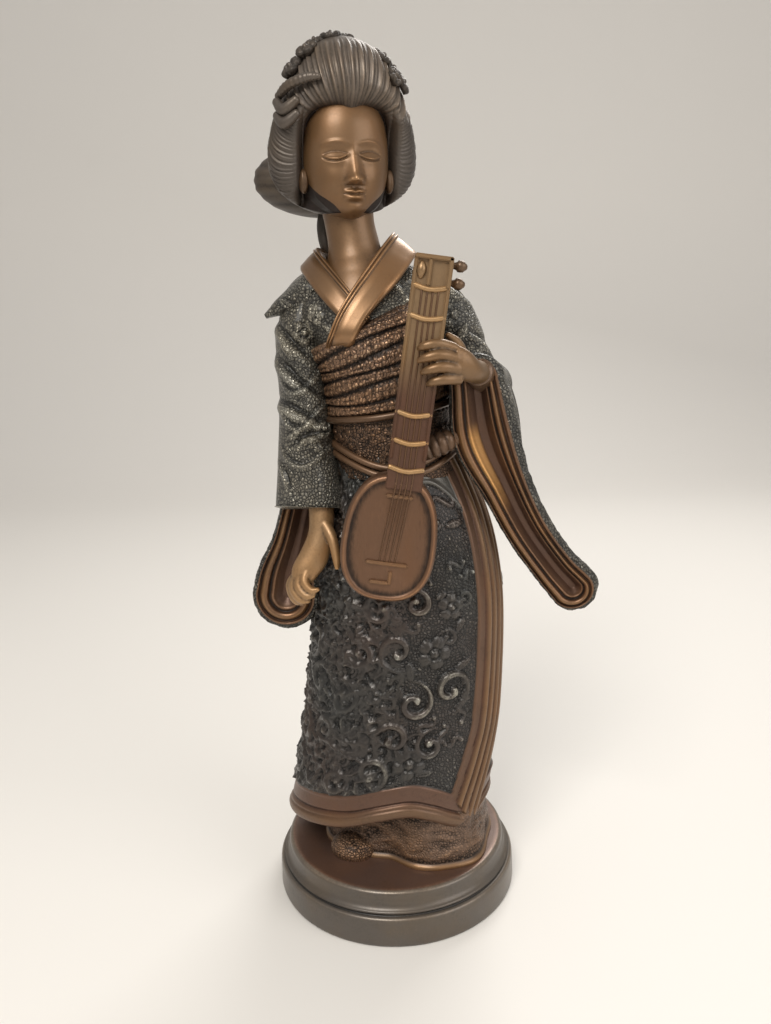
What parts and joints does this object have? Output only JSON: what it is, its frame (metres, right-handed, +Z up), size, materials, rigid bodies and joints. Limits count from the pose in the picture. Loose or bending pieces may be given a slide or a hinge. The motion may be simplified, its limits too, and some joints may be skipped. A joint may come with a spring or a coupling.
{
  "type": "figurine",
  "caption": "Standing bronze figurine of a geisha with a long-necked lute, in a carved robe with hanging sleeves, on a round stepped base.",
  "frame": {"origin": "centre of the round base's flat underside", "axes": "+Z up, the figure faces -Y, +X to the viewer's right"},
  "size_m": [0.1621, 0.1206, 0.399],
  "materials": {
    "patinated_bronze": "cast bronze with dark green-black, brown and gold patina, semi-gloss, worn on the high spots"
  },
  "bodies": {
    "root": {"figurine": "patinated_bronze"}
  },
  "joints": []
}
